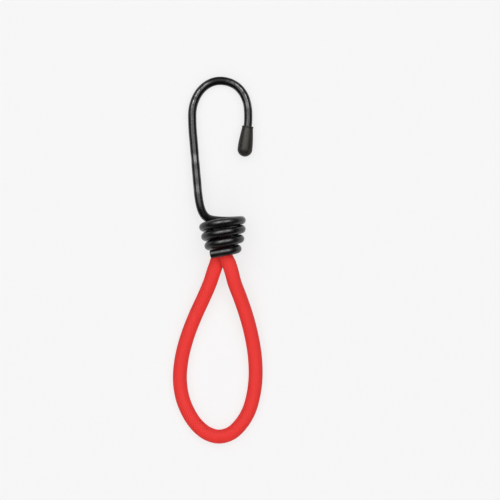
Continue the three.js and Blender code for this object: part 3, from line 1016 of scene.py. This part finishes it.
# Painted shade: from inside the coil to just below its mouth, the red turns nearly black, with a
# ragged edge.
ragged_coil_shade = calculate(tree, "MULTIPLY_ADD", cloudy, 3.0, to_end)
coil_shade = in_range(tree, ragged_coil_shade, *COIL_SHADE_FROM_END, 0.97, 0.0)
coil_shade_red = mixed(tree, coil_shade, red, COIL_SHADE_COLOUR)
sheath_red = mixed(tree, melted, coil_shade_red, MELTED_COLOUR)
fine_height = calculate(tree, "MULTIPLY_ADD", threads, 0.35, weave)
still_woven = calculate(tree, "SUBTRACT", 1.0, melted)
fabric_height = calculate(tree, "MULTIPLY", fine_height, still_woven)
finish_with(
    tree,
    shader,
    Base_Color=sheath_red,
    Roughness=in_range(tree, melted, 0.0, 1.0, 0.72, 0.3),
    Specular_IOR_Level=0.15,
    Sheen_Weight=0.12,
    Sheen_Roughness=0.5,
    Sheen_Tint=(1.0, 0.45, 0.4, 1.0),
    Normal=bump(tree, fabric_height, 0.04 * MM, 0.8),
)
cord.data.materials.append(braid)

# %% [markdown]
# ## Natural latex
#
# The strands are pale tan rubber dusted with talc, which leaves them matt and cloudy.

# %% Core finish
latex, tree, shader = start_material("talced_latex")
place = object_place(tree)
talc = noise(tree, place, 1400.0, detail=4.0)
finish_with(
    tree,
    shader,
    Base_Color=colours(tree, talc, [
        (0.3, (0.56, 0.4, 0.2)),
        (0.55, (0.68, 0.53, 0.31)),
        (0.75, (0.78, 0.7, 0.55)),
    ]),
    Roughness=in_range(tree, talc, 0.3, 0.7, 0.55, 0.85),
    Normal=bump(tree, talc, 0.02 * MM, 0.5),
)
for strand in strands:
    strand.data.materials.append(latex)

# %% [markdown]
# ## Black plastic coating
#
# The coating is almost pure black, so nearly all that is seen of it is its gloss: a soft grey
# band along the top of the wire. Rails and ropes have rubbed the arch dull, from one shoulder to
# the other. On the shoulders themselves a smooth glaze is left, which gleams in thin broken
# streaks, and four short spots, one on the tip's leg and three on the shank, are polished bright.
# The lay map says how far along the wire a point is, in millimetres from the tip. Everywhere the
# roughness wanders, the surface has a faint orange peel, and a few spots are scuffed.

# %% Coating finish
DULL_PLACE = 34.0
DULL_REACH = (12.0, 21.0)
GLAZED_PLACES = (24.2, 44.8)
GLAZED_REACH = (4.5, 8.5)
POLISHED_SPOTS = [(17.7, 0.6), (72.0, 1.0), (78.3, 0.3), (84.4, 0.55)]
SPOT_REACH = (0.6, 2.6)


def near(tree, value, middle, full, reach):
    """1 up to one distance from the middle, then falling smoothly to 0 at a further one."""
    away = calculate(tree, "ABSOLUTE", calculate(tree, "SUBTRACT", value, middle))
    inputs = {"Value": away, 1: full, 2: reach, 3: 1.0, 4: 0.0}
    return add_node(
        tree, "ShaderNodeMapRange", inputs, interpolation_type="SMOOTHSTEP"
    ).outputs[0]


coat, tree, shader = start_material("black_wire_coating")
place = object_place(tree)
along, _ = lay_place(tree)
wander = noise(tree, place, 210.0, detail=3.0)
peel = noise(tree, place, 2300.0, detail=2.0)
patches = noise(tree, place, 800.0, detail=1.0)
scuff_spots = noise(tree, place, 900.0, detail=6.0, roughness=0.7)
scuffs = in_range(tree, scuff_spots, 0.63, 0.72, 0.0, 1.0)
dull = near(tree, along, DULL_PLACE, *DULL_REACH)
glazes = [near(tree, along, middle, *GLAZED_REACH) for middle in GLAZED_PLACES]
glaze = calculate(tree, "ADD", *glazes)
glaze = calculate(tree, "MULTIPLY", glaze, in_range(tree, patches, 0.4, 0.5, 0.15, 0.5))
for middle, strength in POLISHED_SPOTS:
    spot = near(tree, along, middle, *SPOT_REACH)
    glaze = calculate(tree, "MULTIPLY_ADD", spot, strength, glaze)
smooth_black = in_range(tree, wander, 0.35, 0.65, 0.26, 0.36)
rubbed = calculate(tree, "MULTIPLY_ADD", dull, 0.07, smooth_black)
finish_with(
    tree,
    shader,
    Base_Color=colours(tree, calculate(tree, "MULTIPLY_ADD", scuffs, 0.5, peel), [
        (0.3, (0.0015, 0.0015, 0.0015)),
        (0.7, (0.003, 0.0029, 0.0028)),
        (1.0, (0.022, 0.022, 0.022)),
    ]),
    Roughness=calculate(tree, "MULTIPLY_ADD", scuffs, 0.25, rubbed),
    Specular_IOR_Level=in_range(tree, dull, 0.0, 1.0, 0.5, 0.12),
    Coat_Weight=glaze,
    Coat_Roughness=0.09,
    Coat_IOR=1.75,
    Normal=bump(tree, peel, 0.012 * MM, 0.6),
)
coating.data.materials.append(coat)

# %% [markdown]
# ## Matt vinyl
#
# The cap is a softer plastic of a dark warm grey. Its mould was sandblasted, so it is matt with
# a fine grain, and it has picked up a little pale dust.

# %% Cap finish
vinyl, tree, shader = start_material("matt_vinyl")
place = object_place(tree)
grain = noise(tree, place, 3800.0, detail=2.0)
dust = noise(tree, place, 420.0, detail=5.0, roughness=0.6)
finish_with(
    tree,
    shader,
    Base_Color=colours(tree, calculate(tree, "MULTIPLY_ADD", grain, 0.25, dust), [
        (0.35, (0.007, 0.0069, 0.006)),
        (0.65, (0.0125, 0.0123, 0.0106)),
        (0.95, (0.032, 0.0315, 0.0285)),
    ]),
    Roughness=in_range(tree, dust, 0.3, 0.7, 0.44, 0.56),
    Specular_IOR_Level=0.3,
    Specular_Tint=(1.0, 0.985, 0.93, 1.0),
    Normal=bump(tree, grain, 0.03 * MM, 0.7),
)
cap.data.materials.append(vinyl)

# %% [markdown]
# ## Two metals
#
# The wire was drawn through a die, which leaves long scratches along it. The strip has a black
# oxide finish, a thin dark skin with cloudy grains, worn to bare steel in a few spots.

# %% Steel and black oxide finishes
drawn, tree, shader = start_material("drawn_steel")
along, round_share = lay_place(tree)
scratch_place = point(tree, calculate(tree, "MULTIPLY", along, 0.4), 0.0, round_share)
scratches = noise(tree, scratch_place, 60.0, detail=3.0)
finish_with(
    tree,
    shader,
    Base_Color=colours(tree, scratches, [
        (0.3, (0.36, 0.36, 0.37)),
        (0.7, (0.58, 0.58, 0.59)),
    ]),
    Metallic=1.0,
    Roughness=in_range(tree, scratches, 0.3, 0.7, 0.24, 0.42),
    Normal=bump(tree, scratches, 0.01 * MM, 0.5),
)
steel.data.materials.append(drawn)

oxide, tree, shader = start_material("black_oxide")
place = object_place(tree)
grains = add_node(tree, "ShaderNodeTexVoronoi", {"Vector": place, "Scale": 1300.0})
clouds = noise(tree, place, 500.0, detail=4.0)
skin_tone = calculate(tree, "MULTIPLY_ADD", grains.outputs[0], 0.25, clouds)
finish_with(
    tree,
    shader,
    Base_Color=colours(tree, skin_tone, [
        (0.3, (0.008, 0.008, 0.009)),
        (0.75, (0.022, 0.022, 0.025)),
        (0.95, (0.2, 0.2, 0.2)),
    ]),
    Metallic=0.6,
    Roughness=in_range(tree, skin_tone, 0.3, 0.9, 0.62, 0.42),
    Specular_IOR_Level=0.3,
    Normal=bump(tree, skin_tone, 0.012 * MM, 0.4),
)
strip.data.materials.append(oxide)

# %% [markdown]
# ## The table
#
# The table is a wide pale sheet. A ray that has bounced off the object meets its real colour, so
# the table throws light up at the object's sides. The camera and the reflections see part of
# that colour as a glow instead, so the table looks near white and its shadows stay faint.

# %% Make the table
TABLE_SIZE = 12.0
TABLE_COLOUR = 0.85
SEEN_COLOUR = 0.22
SEEN_GLOW = 0.72

table_mesh = bpy.data.meshes.new("table")
half = TABLE_SIZE / 2
corners = [(-half, -half, 0), (half, -half, 0), (half, half, 0), (-half, half, 0)]
table_mesh.from_pydata(corners, [], [(0, 1, 2, 3)])
table = bpy.data.objects.new("table", table_mesh)
bpy.context.scene.collection.objects.link(table)
print(f"table {TABLE_SIZE} m wide")


def seen_rays(tree):
    """1 for a ray from the camera, or one that it sees in a reflection or through a piece."""
    rays = add_node(tree, "ShaderNodeLightPath", {}).outputs
    camera_or_gloss = calculate(tree, "MAXIMUM", rays["Is Camera Ray"], rays["Is Glossy Ray"])
    return calculate(tree, "MAXIMUM", camera_or_gloss, rays["Is Transmission Ray"])


pale, tree, shader = start_material("pale_table")
seen = seen_rays(tree)
finish_with(
    tree,
    shader,
    Base_Color=colours(tree, seen, [
        (0.0, (TABLE_COLOUR, TABLE_COLOUR, TABLE_COLOUR)),
        (1.0, (SEEN_COLOUR, SEEN_COLOUR, SEEN_COLOUR)),
    ]),
    Roughness=0.9,
    Specular_IOR_Level=0.1,
    Emission_Color=(1.0, 1.0, 1.0, 1.0),
    Emission_Strength=calculate(tree, "MULTIPLY", seen, SEEN_GLOW),
)
table_mesh.materials.append(pale)

# %% [markdown]
# ## Light
#
# A soft lamp and a larger, stronger one hang overhead. A dimmer one on the near side lightens the
# shadows, and the sky adds a trace of light from all round. Black plastic shows little but its
# reflections, so these lamps are kept out of them, and three others are only for them and leave
# the rest as it is: a wide card gives the wire its grey band, and two small ones give the arch a
# thin streak on each shoulder.

# %% Make the lamps and the sky


def make_lamp(name, place, size, size_y, power, lights=True, reflected=True):
    """A flat lamp that faces the origin. It can be left out of the light or the reflections."""
    data = bpy.data.lights.new(name, "AREA")
    data.shape = "RECTANGLE"
    data.size = size
    data.size_y = size_y
    data.energy = power
    lamp = bpy.data.objects.new(name, data)
    bpy.context.scene.collection.objects.link(lamp)
    lamp.location = place
    down = -lamp.location.normalized()
    lamp.rotation_euler = down.to_track_quat("-Z", "Y").to_euler()
    lamp.visible_diffuse = lights
    lamp.visible_glossy = reflected
    print(f"{name}: {power} W")


make_lamp("soft_lamp", (0.0, 0.2, 0.98), 1.6, 1.2, 7.9, reflected=False)
make_lamp("fill_lamp", (0.0, 0.0, 1.2), 3.0, 3.0, 13.0, reflected=False)
make_lamp("near_lamp", (0.0, -0.8, 0.6), 1.6, 0.7, 2.6, reflected=False)
make_lamp("wide_card", (-0.07, 0.45, 0.89), 1.8, 1.3, 19.8, lights=False)
make_lamp("left_card", (-0.35, 0.42, 0.84), 0.36, 0.14, 3.6, lights=False)
make_lamp("right_card", (0.33, 0.45, 0.83), 0.3, 0.14, 2.7, lights=False)

SKY_LIGHT = 0.03

world = bpy.data.worlds.new("sky")
bpy.context.scene.world = world
world.use_nodes = True
sky = world.node_tree.nodes["Background"]
sky.inputs["Color"].default_value = (1.0, 1.0, 1.0, 1.0)
sky.inputs["Strength"].default_value = SKY_LIGHT
bpy.context.scene.view_settings.view_transform = "Standard"

# %% [markdown]
# ## Finish
#
# The last cell brings the scene up to date.

# %% Update the scene
bpy.context.view_layer.update()
